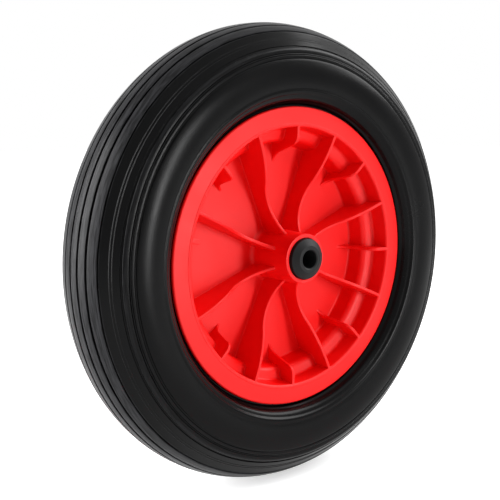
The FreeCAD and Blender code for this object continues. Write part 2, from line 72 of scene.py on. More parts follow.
# Settings that a user would change


class WheelTyreSettings(bpy.types.PropertyGroup):
    """Sizes and colour of the tyre."""

    section_radius: FloatProperty(
        name="Section radius",
        description="Radius of the tyre's round section, in millimetres",
        default=43.0, min=30.0, max=60.0,
    )
    section_centre: FloatProperty(
        name="Section centre",
        description="Distance from the axle to the middle of the section, in millimetres",
        default=147.0, min=120.0, max=180.0,
    )
    groove_depth: FloatProperty(
        name="Groove depth",
        description="Depth of the crown grooves, in millimetres",
        default=2.2, min=0.5, max=4.0,
    )
    divisions: IntProperty(
        name="Divisions", description="Faces round the tyre", default=200, min=64, max=256,
    )
    colour: FloatVectorProperty(
        name="Rubber", description="Colour of the rubber", subtype="COLOR",
        default=(0.0012, 0.0012, 0.0013), min=0.0, max=1.0,
    )


class WheelRimSettings(bpy.types.PropertyGroup):
    """Sizes and colour of the moulded rim."""

    rib_thickness: FloatProperty(
        name="Rib thickness",
        description="Thickness of ribs and gussets, in millimetres",
        default=2.8, min=1.5, max=4.0,
    )
    crest_round: FloatProperty(
        name="Crest rounding",
        description="Rounding of the tops of ribs and gussets, in millimetres",
        default=0.95, min=0.2, max=1.3,
    )
    root_round: FloatProperty(
        name="Root rounding",
        description="Fillet at the feet of ribs and gussets, in millimetres",
        default=0.4, min=0.2, max=2.1,
    )
    colour: FloatVectorProperty(
        name="Plastic", description="Colour of the rim's plastic", subtype="COLOR",
        default=(0.74, 0.0008, 0.0008), min=0.0, max=1.0,
    )


class WheelBushSettings(bpy.types.PropertyGroup):
    """Sizes and colour of the axle bushes."""

    divisions: IntProperty(
        name="Divisions", description="Faces round a bush", default=96, min=32, max=160,
    )
    colour: FloatVectorProperty(
        name="Bush plastic", description="Colour of the bushes and the valve cap", subtype="COLOR",
        default=(0.0040, 0.0041, 0.0043), min=0.0, max=1.0,
    )


class WheelValveSettings(bpy.types.PropertyGroup):
    """Colour of the valve."""

    brass: FloatVectorProperty(
        name="Brass", description="Colour of the barrel and core", subtype="COLOR",
        default=(0.70, 0.52, 0.26), min=0.0, max=1.0,
    )


class WheelStageSettings(bpy.types.PropertyGroup):
    """Lamps and backdrop."""

    key_power: FloatProperty(
        name="Key lamp", description="Power of the large lamp on the right", unit="POWER",
        default=20.0, min=0.0, max=500.0,
    )
    front_power: FloatProperty(
        name="Front lamp", description="Power of the lamp in front", unit="POWER",
        default=12.5, min=0.0, max=500.0,
    )
    side_power: FloatProperty(
        name="Side lamp", description="Power of the lamp beside the tread", unit="POWER",
        default=26.0, min=0.0, max=500.0,
    )
    top_power: FloatProperty(
        name="Top lamp", description="Power of the overhead lamp", unit="POWER",
        default=4.5, min=0.0, max=500.0,
    )
    room_light: FloatProperty(
        name="Room light", description="Strength of the even light from all round",
        default=0.38, min=0.0, max=2.0,
    )


# Shader node helpers


def start_group(name, inputs, outputs):
    """A shader node group with plain number sockets, and its input and output nodes."""
    group = bpy.data.node_groups.new(name, "ShaderNodeTree")
    sockets = group.interface
    for label, default in inputs.items():
        socket = sockets.new_socket(name=label, in_out="INPUT", socket_type="NodeSocketFloat")
        socket.default_value = default
    for label in outputs:
        sockets.new_socket(name=label, in_out="OUTPUT", socket_type="NodeSocketFloat")
    return group, group.nodes.new("NodeGroupInput"), group.nodes.new("NodeGroupOutput")


def feed(tree, node, **inputs):
    """Gives a node its inputs, which are values or other nodes' outputs.

    An input goes by its name, with _ for each space, or by _ and its number.
    """
    for name, value in inputs.items():
        key = int(name[1:]) if name[0] == "_" else name.replace("_", " ")
        if isinstance(value, bpy.types.NodeSocket):
            tree.links.new(value, node.inputs[key])
        else:
            node.inputs[key].default_value = value


def add_node(tree, kind, settings=None, **inputs):
    """A node with its settings and its inputs."""
    node = tree.nodes.new(kind)
    for name, value in (settings or {}).items():
        setattr(node, name, value)
    feed(tree, node, **inputs)
    return node


def noise(tree, vector, scale, detail, roughness=0.5):
    """The plain noise value on a vector."""
    return add_node(
        tree, "ShaderNodeTexNoise", None,
        Vector=vector, Scale=scale, Detail=detail, Roughness=roughness,
    ).outputs["Fac"]


def maths(tree, operation, first, second=0.0, third=0.0):
    """A calculation on one to three values."""
    return add_node(
        tree, "ShaderNodeMath", {"operation": operation}, _0=first, _1=second, _2=third,
    ).outputs[0]


def remap(tree, value, low, high, to_low, to_high):
    """Maps a value smoothly from one range to another."""
    return add_node(
        tree, "ShaderNodeMapRange", {"interpolation_type": "SMOOTHSTEP"},
        Value=value, From_Min=low, From_Max=high, To_Min=to_low, To_Max=to_high,
    ).outputs["Result"]


def mix_colours(tree, amount, first, second):
    """The first colour at an amount of 0, the second at 1."""
    return add_node(
        tree, "ShaderNodeMix", {"data_type": "RGBA"}, _0=amount, _6=first, _7=second,
    ).outputs[2]


def mould_grain_group():
    """Fine moulded grain: a height for bump and an even mask of cloudy patches."""
    group, given, result = start_group(
        "mould grain",
        {"Grain Size": 900.0, "Patch Size": 18.0, "Patch Share": 0.3},
        ("Height", "Patches"),
    )
    place = group.nodes.new("ShaderNodeTexCoord").outputs["Object"]
    grain = noise(group, place, given.outputs["Grain Size"], 2.0, 0.6)
    patches = noise(group, place, given.outputs["Patch Size"], 4.0, 0.55)
    height = maths(group, "MULTIPLY_ADD", patches, given.outputs["Patch Share"], grain)
    feed(group, result, Height=height, Patches=remap(group, patches, 0.35, 0.65, 0.0, 1.0))
    return group


def round_streaks_group():
    """Fine streaks that run round the axle, as a tool or a mould leaves them."""
    group, given, result = start_group(
        "round streaks", {"Across": 1500.0, "Along": 40.0}, ("Streaks",),
    )
    place = group.nodes.new("ShaderNodeTexCoord").outputs["Object"]
    split = add_node(group, "ShaderNodeSeparateXYZ", None, Vector=place)
    x, y, z = (split.outputs[axis] for axis in "XYZ")
    squares = maths(group, "MULTIPLY_ADD", x, x, maths(group, "MULTIPLY", z, z))
    radius = maths(group, "SQRT", squares)
    across, along = given.outputs["Across"], given.outputs["Along"]
    vector = add_node(
        group, "ShaderNodeCombineXYZ", None,
        X=maths(group, "MULTIPLY", x, along),
        Y=maths(group, "MULTIPLY", y, across),
        Z=maths(group, "MULTIPLY", z, along),
    ).outputs["Vector"]
    streaks = add_node(
        group, "ShaderNodeTexNoise", {"noise_dimensions": "4D"},
        Vector=vector, W=maths(group, "MULTIPLY", radius, across), Scale=1.0, Detail=2.0,
    ).outputs["Fac"]
    feed(group, result, Streaks=streaks)
    return group


def dust_group():
    """A thin cloudy film of dust and handling marks, as a mask."""
    group, given, result = start_group(
        "handling film", {"Amount": 0.3, "Size": 12.0}, ("Film",),
    )
    place = group.nodes.new("ShaderNodeTexCoord").outputs["Object"]
    cloud = noise(group, place, given.outputs["Size"], 6.0, 0.65)
    specks = noise(group, place, 420.0, 3.0, 0.7)
    clouded = remap(group, cloud, 0.42, 0.72, 0.0, 1.0)
    speckled = remap(group, specks, 0.4, 0.7, 0.4, 1.0)
    film = maths(group, "MULTIPLY", clouded, speckled)
    feed(group, result, Film=maths(group, "MULTIPLY", film, given.outputs["Amount"]))
    return group


def use_group(tree, name, maker, **inputs):
    """The outputs of a node group, which is made at its first use."""
    group = bpy.data.node_groups.get(name) or maker()
    return add_node(tree, "ShaderNodeGroup", {"node_tree": group}, **inputs).outputs


def rgba(colour, gain=1.0):
    """An opaque colour, made paler or darker by a gain."""
    return (*[gain * channel for channel in colour], 1.0)


def start_material(name):
    """A new material's tree with its Principled shader."""
    material = bpy.data.materials.new(name)
    material.use_nodes = True
    tree = material.node_tree
    shader = tree.nodes["Principled BSDF"]
    return material, tree, shader


def bump(tree, height, distance, strength):
    """The normal of a surface roughened by a height."""
    return add_node(
        tree, "ShaderNodeBump", None, Height=height, Distance=distance, Strength=strength,
    ).outputs["Normal"]


def rubber_material(name, colour, attribute=None):
    """Satin rubber, matt where the attribute is 1 and smooth where it is 0 or isn't given."""
    material, tree, shader = start_material(name)
    grain = use_group(
        tree, "mould grain", mould_grain_group, Grain_Size=1500.0, Patch_Size=14.0, Patch_Share=0.4,
    )
    streaks = use_group(
        tree, "round streaks", round_streaks_group, Across=1300.0, Along=70.0,
    )["Streaks"]
    film = use_group(tree, "handling film", dust_group, Amount=0.35, Size=9.0)["Film"]
    matt = 0.0
    if attribute:
        matt = add_node(tree, "ShaderNodeAttribute", {"attribute_name": attribute}).outputs["Fac"]
    deep, pale, dusty = rgba(colour), rgba(colour, 18.0), rgba(colour, 4.0)
    lifted = maths(tree, "MULTIPLY", matt, remap(tree, streaks, 0.35, 0.65, 0.1, 1.0))
    ribbed = mix_colours(tree, lifted, deep, pale)
    smooth_rough = maths(tree, "MULTIPLY_ADD", grain["Patches"], 0.05, 0.2)
    rough = maths(tree, "MULTIPLY_ADD", matt, 0.10, smooth_rough)
    streak_height = maths(tree, "MULTIPLY", streaks, maths(tree, "MULTIPLY_ADD", matt, 0.8, 0.15))
    height = maths(tree, "MULTIPLY_ADD", grain["Height"], 0.25, streak_height)
    feed(
        tree, shader,
        Base_Color=mix_colours(tree, film, ribbed, dusty),
        Roughness=maths(tree, "MULTIPLY_ADD", film, 0.12, rough),
        Specular_IOR_Level=0.072,
        Normal=bump(tree, height, 0.12 * MM, 1.0),
    )
    return material


def moulded_plastic(name, colour, lift, roughness, specular, grain_size):
    """Moulded plastic with a fine grain, faint paler patches and a thin film of dust."""
    material, tree, shader = start_material(name)
    grain = use_group(
        tree, "mould grain", mould_grain_group,
        Grain_Size=grain_size, Patch_Size=22.0, Patch_Share=1.2,
    )
    film = use_group(tree, "handling film", dust_group, Amount=0.22, Size=11.0)["Film"]
    base, paler = rgba(colour), rgba(lift)
    patchy = mix_colours(tree, maths(tree, "MULTIPLY", grain["Patches"], 0.35), base, paler)
    rough = maths(tree, "MULTIPLY_ADD", grain["Patches"], 0.07, roughness)
    feed(
        tree, shader,
        Base_Color=mix_colours(tree, film, patchy, paler),
        Roughness=maths(tree, "MULTIPLY_ADD", film, 0.2, rough),
        Specular_IOR_Level=specular,
        Normal=bump(tree, grain["Height"], 0.06 * MM, 0.6),
    )
    return material


def brass_material(name, colour):
    """Brass with a fine grain and a little tarnish."""
    material, tree, shader = start_material(name)
    place = tree.nodes.new("ShaderNodeTexCoord").outputs["Object"]
    tarnish = remap(tree, noise(tree, place, 260.0, 5.0, 0.6), 0.4, 0.68, 0.0, 0.7)
    feed(
        tree, shader,
        Base_Color=mix_colours(tree, tarnish, rgba(colour), rgba(colour, 0.45)),
        Roughness=maths(tree, "MULTIPLY_ADD", tarnish, 0.3, 0.24),
        Metallic=1.0,
        Normal=bump(tree, noise(tree, place, 1800.0, 2.0), 0.04 * MM, 0.5),
    )
    return material


# Mesh helpers

SHARP_ANGLE = math.radians(42)


def round_off(bm, geometry, rounding, segments, affect="EDGES"):
    """Rounds edges or corners, by millimetres."""
    bmesh.ops.bevel(
        bm, geom=geometry, offset=rounding * MM, offset_type="OFFSET", affect=affect,
        segments=segments, profile=0.5, material=-1, clamp_overlap=False,
    )


def draw_outline(bm, corners, away=FRONT):
    """An open outline in the plane of X and Y, in front of the middle plane or behind it.

    A corner is its radius from the axle, its distance from the middle plane and its rounding,
    in millimetres.
    """
    ring = bm.verts.layers.int.new("ring")
    made = []
    for index, (radius, along, _) in enumerate(corners):
        vertex = bm.verts.new((radius * MM, away * along * MM, 0))
        vertex[ring] = index
        made.append(vertex)
    for first, second in zip(made, made[1:]):
        bm.edges.new((first, second))
    for vertex, (_, _, rounding) in zip(made, corners):
        if rounding:
            round_off(bm, [vertex], rounding, 2 if rounding < 1 else 4, "VERTICES")
    return ring


def spin_round_axle(bm, divisions):
    """Turns an outline once round the axle and closes it."""
    bmesh.ops.spin(
        bm, geom=bm.verts[:] + bm.edges[:], cent=(0, 0, 0), axis=AXLE, dvec=(0, 0, 0),
        angle=FULL_TURN, steps=divisions,
        use_merge=True, use_normal_flip=False, use_duplicate=False,
    )
    bmesh.ops.remove_doubles(bm, verts=bm.verts[:], dist=MERGE_DISTANCE)


def add_other_half(bm):
    """Mirrors the front half to the back and joins the two on the middle plane."""
    bmesh.ops.mirror(
        bm, geom=bm.verts[:] + bm.edges[:] + bm.faces[:], matrix=Matrix.Identity(4),
        merge_dist=MERGE_DISTANCE, axis="Y",
    )
    bmesh.ops.remove_doubles(bm, verts=bm.verts[:], dist=MERGE_DISTANCE)


def finish_piece(name, bm, material, nodes, sharp=SHARP_ANGLE):
    """Makes a mesh object of a closed bmesh, in place, and hides the CAD nodes whose place it
    takes.
    """
    bmesh.ops.recalc_face_normals(bm, faces=bm.faces[:])
    open_edges = [edge for edge in bm.edges if not edge.is_manifold]
    if open_edges:
        raise RuntimeError(f"{name} has {len(open_edges)} open edges")
    for face in bm.faces:
        face.smooth = True
    for edge in bm.edges:
        edge.smooth = edge.calc_face_angle(0.0) < sharp
    mesh = bpy.data.meshes.new(name)
    bm.to_mesh(mesh)
    bm.free()
    mesh.materials.append(material)
    piece = bpy.data.objects.new(name, mesh)
    bpy.context.scene.collection.objects.link(piece)
    even = piece.modifiers.new("even shading", "WEIGHTED_NORMAL")
    even.keep_sharp = True
    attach(piece, "root")
    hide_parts(*nodes)


def arc_points(start, end, radius, bulge, count):
    """Points of an arc from start to end, without its ends.

    The bulge is the side of the way to which the arc bulges, LEFT or RIGHT.
    """
    start, end = Vector(start), Vector(end)
    chord = end - start
    across = Vector((-chord.y, chord.x)).normalized() * -bulge
    centre = (start + end) / 2 + across * math.sqrt(radius**2 - chord.length_squared / 4)
    first, last = start - centre, end - centre
    turn = first.angle_signed(last)
    points = []
    for step in range(1, count):
        spoke = first.copy()
        spoke.rotate(Matrix.Rotation(-turn * step / count, 2))
        points.append(tuple(centre + spoke))
    return points


# Tyre

# Angles are in degrees, from the middle of the crown round the section's centre.
GROOVE_HALF_ANGLE = 1.3
GROOVE_SIDE_ANGLE = 0.35
SLOPE_START, SLOPE_END, SLOPE_DOWN = 36.9, 57.1, 0.7
RIDGE_ANGLES = (46.5, 49.5)
RIDGE_HALF, RIDGE_HEIGHT, RIDGE_ROUND = 0.42, 0.34, 0.12
CAVITY_SHIFT, CAVITY_WALL = 3.2, 4.2
CAVITY_ANGLES = range(105, -1, -15)


def tyre_outline(settings):
    """Front half of the tyre's section, from the middle of its crown to the middle of its cavity.

    Down is into the rubber. Each corner also says how matt the rubber is there.
    """
    centre, section = settings.section_centre, settings.section_radius
    depth = settings.groove_depth

    def at(angle, down=0.0, rounding=0.0, matt=0.0):
        turn = math.radians(angle)
        radius = section - down
        return (centre + radius * math.cos(turn), radius * math.sin(turn), rounding, matt)

    def round_part(start, end, steps, matt=0.0):
        pitch = (end - start) / steps
        return [at(start + pitch * step, 0.0, 0.0, matt) for step in range(1, steps)]

    def groove(middle):
        first, last = middle - GROOVE_HALF_ANGLE, middle + GROOVE_HALF_ANGLE
        return [
            at(first, 0.0, 0.3, 1.0),
            at(first + GROOVE_SIDE_ANGLE, depth, 0.25),
            at(last - GROOVE_SIDE_ANGLE, depth, 0.25),
            at(last, 0.0, 0.3, 1.0),
        ]

    slope_start = Vector(at(SLOPE_START, SLOPE_DOWN)[:2])
    slope_end = Vector(at(SLOPE_END, SLOPE_DOWN)[:2])
    slope_middle = math.radians((SLOPE_START + SLOPE_END) / 2)
    outwards = Vector((math.cos(slope_middle), math.sin(slope_middle)))

    def ridge(angle):
        share = (angle - SLOPE_START) / (SLOPE_END - SLOPE_START)
        step = (slope_end - slope_start).normalized() * RIDGE_HALF
        middle = slope_start.lerp(slope_end, share)
        return [
            (*(middle - step), RIDGE_ROUND, 0.0),
            (*(middle + outwards * RIDGE_HEIGHT), RIDGE_ROUND, 0.15),
            (*(middle + step), RIDGE_ROUND, 0.0),
        ]

    def in_cavity(angle):
        turn = math.radians(angle)
        radius = section - CAVITY_WALL
        return (centre - CAVITY_SHIFT + radius * math.cos(turn), radius * math.sin(turn), 0.0, 0.0)

    return [
        # Crown, with half of its middle groove and two more
        at(0, depth),
        at(0.95, depth, 0.25),
        at(1.3, 0.0, 0.3, 1.0),
        *round_part(1.3, 9.9, 4, 1.0),
        *groove(11.2),
        *round_part(12.5, 21.1, 4, 1.0),
        *groove(22.4),
        *round_part(23.7, 34.4, 5, 1.0),
        at(34.4, 0.0, 0.4, 1.0),
        # Slope beside the crown, with its two fine ridges
        at(34.8, 1.7, 0.25),
        at(35.9, 1.7, 0.25),
        at(36.2, 0.3, 0.5, 0.5),
        at(37.3, 0.7),
        *(corner for angle in RIDGE_ANGLES for corner in ridge(angle)),
        at(SLOPE_END, SLOPE_DOWN, 0.25),
        # Bands of the shoulder
        at(57.5, 1.7, 0.25),
        at(59.2, 1.6, 0.25),
        at(59.8, 0.25, 0.4, 0.3),
        *round_part(60.6, 63.6, 3, 0.3),
        at(63.6, 0.0, 0.0, 0.1),
        at(65.9, 0.6, 0.12, 0.1),
        at(66.5, 1.3, 0.12),
        at(66.95, 0.3, 0.12, 0.2),
        at(67.7, 0.3, 0.12, 0.2),
        at(68.2, 0.9, 0.12),
        at(68.9, 0.0, 0.5, 0.1),
        at(71.5, 0.5, 0.2, 0.1),
        at(72.3, 1.3, 0.25),
        at(73.8, 1.2, 0.25),
        at(74.3, 0.0, 0.3),
        # Sidewall, with a raised ring near the rim
        *round_part(74.3, 104.6, 14),
        at(104.8, 0.0, 0.6),
        at(106.6, -0.85, 0.6),
        at(109.3, -0.8, 0.6),
        at(111.4, 0.1, 0.6),
        # Seam at the rim and the bead on its seat
        (127.9, 38.5, 2.2, 0.0),
        (126.0, 33.6, 0.8, 0.0),
        (124.2, 31.4, 0.6, 0.0),
        (123.8, 29.6, 0.6, 0.0),
        (112.3, 29.5, 0.0, 0.0),
        (109.3, 26.3, 0.0, 0.0),
        (108.2, 17.6, 0.3, 0.0),
        (110.5, 17.6, 0.3, 0.0),
        (119.5, 20.6, 0.0, 0.0),
        # Cavity
        *(in_cavity(angle) for angle in CAVITY_ANGLES),
    ]


class WHEEL_OT_tyre(bpy.types.Operator):
    """Spin the ribbed tyre with its fine ridges and beads"""

    bl_idname = "wheel.tyre"
    bl_label = "Tyre"

    def execute(self, context):
        settings = context.scene.wheel_tyre
        outline = tyre_outline(settings)
        bm = bmesh.new()
        ring = draw_outline(bm, [corner[:3] for corner in outline])
        matt = bm.verts.layers.float.new("matt")
        for vertex in bm.verts:
            vertex[matt] = outline[vertex[ring]][3]
        spin_round_axle(bm, settings.divisions)
        add_other_half(bm)
        rubber = rubber_material("satin rubber", settings.colour, "matt")
        finish_piece("tyre_ribbed", bm, rubber, ["tyre"])
        return {"FINISHED"}


# Rim

RIB_PLACES = 16
OPEN_PLACE = RIB_PLACES // 2
LINES_PER_PLACE = 10
ROOT_SPACE = 2.3
RIB_ROUND_STEPS = 3
RIM_TURN = math.radians(1.15)
RIM_SHARP_ANGLE = math.radians(38)
RIB_EDGE_ANGLE = math.radians(40)
RED_LIFT = (0.76, 0.003, 0.003)

# Rings, as places in RIM_OUTLINE: where the ribs' tops meet the flange, where the gussets' feet
# meet the web, where the ribs' tops meet the hub, the hub's end, and those round the valve's hole.
FLANGE_CREST_RING = 14
FOOT_RING = 26
HUB_CREST_RING = 30
HUB_END_RING = 32
VALVE_HOLE_RINGS = ((1, 2, 3), (21, 22, 23))
VALVE_HOLE_RADIUS = 5.0

NUB_ANGLE = math.radians(169.4)
NUB_RADIUS, NUB_ALONG = 102.3, 30.7
NUB_SIZE = (8.0, 5.0, 4.4)
NUB_ROUND = 0.9

# Front half of the rim's section, from the well out over the flange and in to the hub's bore.
RIM_OUTLINE = [
    (97.2, 0.0, 0.0),
    (97.2, 4.2, 0.0),
    (97.2, 8.8, 0.0),
    (97.2, 13.4, 0.0),
    (97.2, 14.2, 0.6),
    (107.8, 15.6, 0.8),
    (108.9, 28.9, 2.6),
    (113.0, 29.7, 0.0),
    (122.3, 29.7, 1.5),
    (122.3, 33.1, 1.5),
    (109.0, 34.35, 0.12),
    (108.7, 34.7, 0.12),
    (107.8, 34.72, 0.0),
    (107.15, 34.6, 0.0),
    (106.5, 34.2, 0.0),
    (106.0, 33.55, 0.0),
    (105.75, 32.6, 0.0),
    (105.3, 27.0, 0.0),
    (104.6, 19.4, 1.9),
    (99.5, 18.6, 0.0),
    (94.6, 17.0, 3.0),
    (93.956, 13.4, 0.0),
    (93.134, 8.8, 0.0),
    (92.311, 4.2, 0.0),
    (91.9, 1.9, 1.5),
    (84.0, 2.1, 0.0),
    (76.0, 2.4, 0.0),
    (62.0, 2.9, 0.0),
    (42.0, 3.6, 0.0),
    (21.7, 4.3, 4.2),
    (20.82, 30.2, 0.0),
    (20.55, 37.4, 0.0),
    (20.3, 44.9, 0.8),
    (17.1, 44.9, 0.35),
    (17.1, 40.9, 0.0),
    (14.0, 40.9, 0.0),
    (14.0, 20.0, 0.0),
    (14.0, 0.0, 0.0),
]


def rib_crest():
    """Top of a profile rib from the hub to the flange, without its ends."""
    hub, flange = (RIM_OUTLINE[ring][:2] for ring in (HUB_CREST_RING, FLANGE_CREST_RING))
    turn = (66.0, 25.2)
    return [
        *arc_points(hub, turn, 36.5, RIGHT, 16),
        turn,
        *arc_points(turn, flange, 100.0, LEFT, 12),
    ]


def gusset_crest():
    """Top of a gusset from its foot on the web to the flange, without its ends."""
    foot = RIM_OUTLINE[FOOT_RING][:2]
    waist, side, nose = (84.6, 9.8), (90.2, 26.0), (98.6, 34.1)
    return [
        *arc_points(foot, waist, 12.0, RIGHT, 8),
        waist,
        (86.9, 16.4),
        side,
        *arc_points(side, nose, 9.0, LEFT, 8),
        nose,
    ]


def line_angle(line, radius, half_thickness):
    """Angle from a rib's middle to one of the lines beside it, at a radius.

    Line 1 is the rib's side, and line 2 keeps clear of the fillet at its foot.
    """
    middle = math.pi / RIB_PLACES
    last = LINES_PER_PLACE // 2
    reach = max(radius, RIM_OUTLINE[HUB_END_RING][0] * MM)
    if line == 1:
        return math.asin(half_thickness / reach)
    near = math.asin((half_thickness + ROOT_SPACE * MM) / reach)
    return near + (middle - near) * (line - 2) / (last - 2)


def turn_about(along, vertex):
    """Turn of a vertex about the hole's middle, counted from just before straight behind it."""
    slack = 0.01
    return (math.atan2(vertex.co.z, vertex.co.y - along) + slack) % FULL_TURN


class WHEEL_OT_rim(bpy.types.Operator):
    """Spin the rim, raise its ribs and gussets out of it and round their tops and feet"""

    bl_idname = "wheel.rim"
    bl_label = "Rim"

    def execute(self, context):
        settings = context.scene.wheel_rim
        half = settings.rib_thickness * MM / 2
        bm = bmesh.new()
        ring = draw_outline(bm, RIM_OUTLINE)
        spin_round_axle(bm, RIB_PLACES * LINES_PER_PLACE)
        side, place = self.line_up(bm, half)
        upright = bm.faces.layers.int.new("upright")
        self.open_slots(bm, ring, side, place)
        for index in range(RIB_PLACES):
            if index != OPEN_PLACE:
                self.raise_crest(bm, ring, side, place, index, half)
        bmesh.ops.remove_doubles(bm, verts=bm.verts[:], dist=2 * MERGE_DISTANCE)
        gaps = [edge for edge in bm.edges if edge.is_boundary and not self.on_middle(edge)]
        for face in bmesh.ops.holes_fill(bm, edges=gaps, sides=0)["faces"]:
            face[upright] = 1
        self.round_ribs(bm, upright, settings)
        add_other_half(bm)
        self.bore_valve_hole(bm, ring, side, place)
        self.add_nub(bm)
        turn = Matrix.Rotation(RIM_TURN, 3, "Y")
        bmesh.ops.rotate(bm, verts=bm.verts[:], cent=(0, 0, 0), matrix=turn)
        plastic = moulded_plastic("red plastic", settings.colour, RED_LIFT, 0.42, 0.24, 700.0)
        finish_piece("rim_moulded", bm, plastic, ["rim"], RIM_SHARP_ANGLE)
        return {"FINISHED"}

    @staticmethod
    def line_up(bm, half):
        """Moves the lines beside each rib's middle to its sides and notes them on the vertices."""
        side = bm.verts.layers.int.new("side")
        place = bm.verts.layers.int.new("place")
        pitch = FULL_TURN / RIB_PLACES
        for vertex in bm.verts:
            angle = math.atan2(vertex.co.z, vertex.co.x)
            nearest = round(angle / pitch)
            line = round((angle - nearest * pitch) / (pitch / LINES_PER_PLACE))
            vertex[place], vertex[side] = nearest % RIB_PLACES, line
            if line:
                radius = math.hypot(vertex.co.x, vertex.co.z)
                offset = math.copysign(line_angle(abs(line), radius, half), line)
                angle = nearest * pitch + offset
                vertex.co.x, vertex.co.z = radius * math.cos(angle), radius * math.sin(angle)
        return side, place

    @staticmethod
    def on_middle(edge):
        """Whether an edge lies on the wheel's middle plane."""
        return all(abs(vertex.co.y) < MERGE_DISTANCE for vertex in edge.verts)

    @staticmethod
    def open_slots(bm, ring, side, place):
        """Takes out the rim's surface where ribs and gussets stand on it."""
        def under_rib(face):
            if any(abs(vertex[side]) > 1 or vertex[place] == OPEN_PLACE for vertex in face.verts):
                return False
            gusset = face.verts[0][place] % 2 == 0
            last = FOOT_RING if gusset else HUB_CREST_RING
            return all(FLANGE_CREST_RING <= vertex[ring] <= last for vertex in face.verts)

        slots = [face for face in bm.faces if under_rib(face)]
        bmesh.ops.delete(bm, geom=slots, context="FACES")

    @staticmethod
    def raise_crest(bm, ring, side, place, index, half):
        """Draws the top of a rib or a gusset from its inner end to the flange, in its width."""
        gusset = index % 2 == 0
        start = FOOT_RING if gusset else HUB_CREST_RING
        crest = gusset_crest() if gusset else rib_crest()
        angle = index * FULL_TURN / RIB_PLACES
        along = Vector((math.cos(angle), 0, math.sin(angle)))
        across = Vector((-math.sin(angle), 0, math.cos(angle)))

        def ends(which):
            return [
                vertex for vertex in bm.verts
                if vertex[place] == index and vertex[ring] == which and abs(vertex[side]) <= 1
            ]

        inner = set(ends(start))
        edges = [edge for edge in bm.edges if set(edge.verts) <= inner and edge.is_boundary]
        outer = {vertex[side]: vertex.co.copy() for vertex in ends(FLANGE_CREST_RING)}
        for point in [*crest, None]:
            raised = bmesh.ops.extrude_edge_only(bm, edges=edges)["geom"]
            edges = [
                item for item in raised
                if isinstance(item, bmesh.types.BMEdge) and len(item.link_faces) == 1
            ]
            for vertex in {vertex for edge in edges for vertex in edge.verts}:
                if point is None:
                    vertex.co = outer[vertex[side]]
                else:
                    middle = along * (point[0] * MM) - AXLE * (point[1] * MM)
                    vertex.co = middle + across * (half * vertex[side])
                vertex[ring] = -1
            edges = [edge for edge in edges if len({vertex[side] for vertex in edge.verts}) == 2]

    @staticmethod
    def round_ribs(bm, upright, settings):
        """Rounds the crests and then the feet of the ribs."""
        def border(fold):
            """Edges round the ribs' sides that fold outwards, for 1, or inwards, for -1."""
            return [
                edge for edge in bm.edges
                if len(edge.link_faces) == 2
                and sum(face[upright] for face in edge.link_faces) == 1
                and edge.calc_face_angle_signed(0.0) * fold > RIB_EDGE_ANGLE
            ]

        bmesh.ops.recalc_face_normals(bm, faces=bm.faces[:])
        for fold, rounding in ((1, settings.crest_round), (-1, settings.root_round)):
            round_off(bm, border(fold), rounding, RIB_ROUND_STEPS)

    @staticmethod
    def bore_valve_hole(bm, ring, side, place):
        """Opens the valve's round hole through the well, behind the middle plane.

        It is in the place without a gusset, where a patch of the well's outside and one of its
        inside are taken out, their borders are drawn round and the two are joined.
        """
        hole_radius = VALVE_HOLE_RADIUS * MM
        borders = []
        for rings in VALVE_HOLE_RINGS:
            first, middle, last = (Vector(RIM_OUTLINE[index][:2]) * MM for index in rings)
            slope = (last.x - first.x) / (last.y - first.y)
            inside = {
                vertex for vertex in bm.verts
                if vertex.co.y > 0 and vertex[place] == OPEN_PLACE
                and abs(vertex[side]) <= 2 and vertex[ring] in rings
            }
            patch = [face for face in bm.faces if inside.issuperset(face.verts)]
            border = [
                edge for edge in bm.edges
                if sum(face in patch for face in edge.link_faces) == 1
            ]
            loop = sorted(
                {vertex for edge in border for vertex in edge.verts},
                key=lambda vertex: turn_about(middle.y, vertex),
            )
            bmesh.ops.delete(bm, geom=patch, context="FACES")
            for index, vertex in enumerate(loop):
                turn = FULL_TURN * index / len(loop)
                behind, above = hole_radius * math.cos(turn), hole_radius * math.sin(turn)
                radius = middle.x + slope * behind
                vertex.co = (-math.sqrt(radius**2 - above**2), middle.y + behind, above)
            borders += border
        bmesh.ops.bridge_loops(bm, edges=borders)

    @staticmethod
    def add_nub(bm):
        """The small moulded nub inside the flange, on the front only."""
        spoke = Vector((math.cos(NUB_ANGLE), 0, math.sin(NUB_ANGLE)))
        place = spoke * (NUB_RADIUS * MM) + AXLE * (FRONT * NUB_ALONG * MM)
        matrix = (
            Matrix.Translation(place) @ Matrix.Rotation(-NUB_ANGLE, 4, "Y")
            @ Matrix.Diagonal((*(MM * size for size in NUB_SIZE), 1))
        )
        nub = bmesh.ops.create_cube(bm, size=1.0, matrix=matrix)["verts"]
        edges = dict.fromkeys(edge for vertex in nub for edge in vertex.link_edges)
        round_off(bm, list(edges), NUB_ROUND, RIB_ROUND_STEPS)


# Bushes

BLACK_LIFT = 2.2

# Section of a bush, from the inner end of its bore round to the outer end.
BUSH_OUTLINE = [
    (7.5, 18.9, 0.3),
    (13.98, 18.9, 0.5),
    (13.98, 40.9, 0.0),
    (16.5, 40.9, 0.2),
    (16.5, 47.7, 0.6),
    (15.6, 47.9, 0.0),
    (11.0, 50.9, 0.25),
    (8.4, 50.9, 0.2),
    (7.5, 50.2, 0.2),
]


